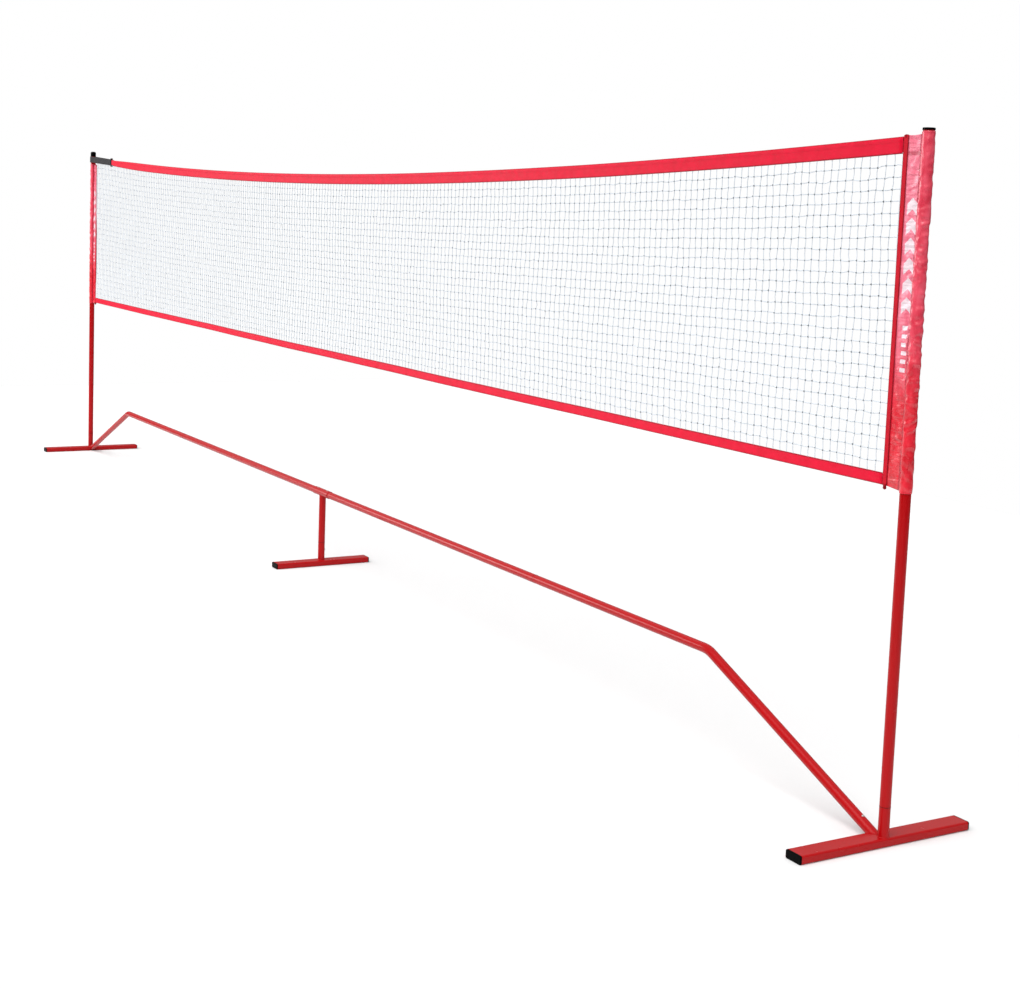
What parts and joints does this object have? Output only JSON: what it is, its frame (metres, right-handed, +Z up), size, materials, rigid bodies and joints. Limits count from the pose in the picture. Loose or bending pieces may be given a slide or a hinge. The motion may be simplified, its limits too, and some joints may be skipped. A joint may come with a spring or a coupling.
{
  "type": "portable badminton net",
  "caption": "Free-standing badminton net with fabric sleeves on two steel posts, joined by a braced crossbar with a middle leg on flat foot bars.",
  "frame": {"origin": "on the floor under the middle of the net", "axes": "+X along the net towards the right post, +Y across the net away from the viewer, +Z up"},
  "size_m": [6.1322, 0.488, 1.57],
  "materials": {
    "red_paint": "gloss powder coat",
    "black_plastic": "moulded",
    "zinc_steel": "zinc plated",
    "red_satin": "satin polyester",
    "dark_red_tape": "woven tape",
    "red_nylon": "woven nylon",
    "white_mesh": "knotted cord",
    "white_cord": "braided cord",
    "black_webbing": "woven webbing"
  },
  "bodies": {
    "base": {"middle_foot_bar": "red_paint", "middle_foot_plug_front": "black_plastic", "middle_foot_plug_back": "black_plastic", "tee_leg": "red_paint", "right_foot_bar": "red_paint", "right_foot_plug_front": "black_plastic", "right_foot_plug_back": "black_plastic", "right_end_tube": "red_paint", "right_crossbar_tube": "red_paint", "left_foot_bar": "red_paint", "left_foot_plug_front": "black_plastic", "left_foot_plug_back": "black_plastic", "left_end_tube": "red_paint", "left_crossbar_tube": "red_paint", "right_brace_button_spring": "zinc_steel", "right_tee_button_spring": "zinc_steel", "left_brace_button_spring": "zinc_steel", "left_tee_button_spring": "zinc_steel", "leg_button_spring": "zinc_steel"},
    "net": {"net_mesh": "white_mesh", "top_band": "red_nylon", "head_cord": "white_cord", "bottom_band": "red_nylon", "right_binding": "dark_red_tape", "left_binding": "dark_red_tape", "right_sleeve": "red_satin", "left_sleeve": "red_satin", "corner_knots": "dark_red_tape", "tension_strap": "black_webbing", "strap_buckle": "black_plastic"},
    "right_post": {"right_post": "red_paint", "right_post_cap": "black_plastic"},
    "left_post": {"left_post": "red_paint", "left_post_cap": "black_plastic"},
    "leg_button": {"leg_button": "zinc_steel"},
    "right_brace_button": {"right_brace_button": "zinc_steel"},
    "right_tee_button": {"right_tee_button": "zinc_steel"},
    "left_brace_button": {"left_brace_button": "zinc_steel"},
    "left_tee_button": {"left_tee_button": "zinc_steel"}
  },
  "joints": [
    {"name": "net_slide", "type": "slide", "parent": "base", "child": "net", "axis": [0, 0, 1], "range_m": [-0.4, 0]},
    {"name": "right_post_lift", "type": "slide", "parent": "base", "child": "right_post", "axis": [0, 0, 1], "range_m": [0, 0.1]},
    {"name": "left_post_lift", "type": "slide", "parent": "base", "child": "left_post", "axis": [0, 0, 1], "range_m": [0, 0.1]},
    {"name": "leg_button_press", "type": "slide", "parent": "base", "child": "leg_button", "axis": [0, -1, 0], "range_m": [0, 0.0035], "stiffness_N_per_m": 1000, "springref_m": -0.002, "deforming": ["leg_button_spring"]},
    {"name": "right_brace_button_press", "type": "slide", "parent": "base", "child": "right_brace_button", "axis": [-0.3839, 0, -0.9234], "range_m": [0, 0.0035], "stiffness_N_per_m": 1000, "springref_m": -0.002, "deforming": ["right_brace_button_spring"]},
    {"name": "right_tee_button_press", "type": "slide", "parent": "base", "child": "right_tee_button", "axis": [0, 0, -1], "range_m": [0, 0.0039], "stiffness_N_per_m": 1000, "springref_m": -0.002, "deforming": ["right_tee_button_spring"]},
    {"name": "left_brace_button_press", "type": "slide", "parent": "base", "child": "left_brace_button", "axis": [0.3839, 0, -0.9234], "range_m": [0, 0.0035], "stiffness_N_per_m": 1000, "springref_m": -0.002, "deforming": ["left_brace_button_spring"]},
    {"name": "left_tee_button_press", "type": "slide", "parent": "base", "child": "left_tee_button", "axis": [0, 0, -1], "range_m": [0, 0.0039], "stiffness_N_per_m": 1000, "springref_m": -0.002, "deforming": ["left_tee_button_spring"]}
  ]
}
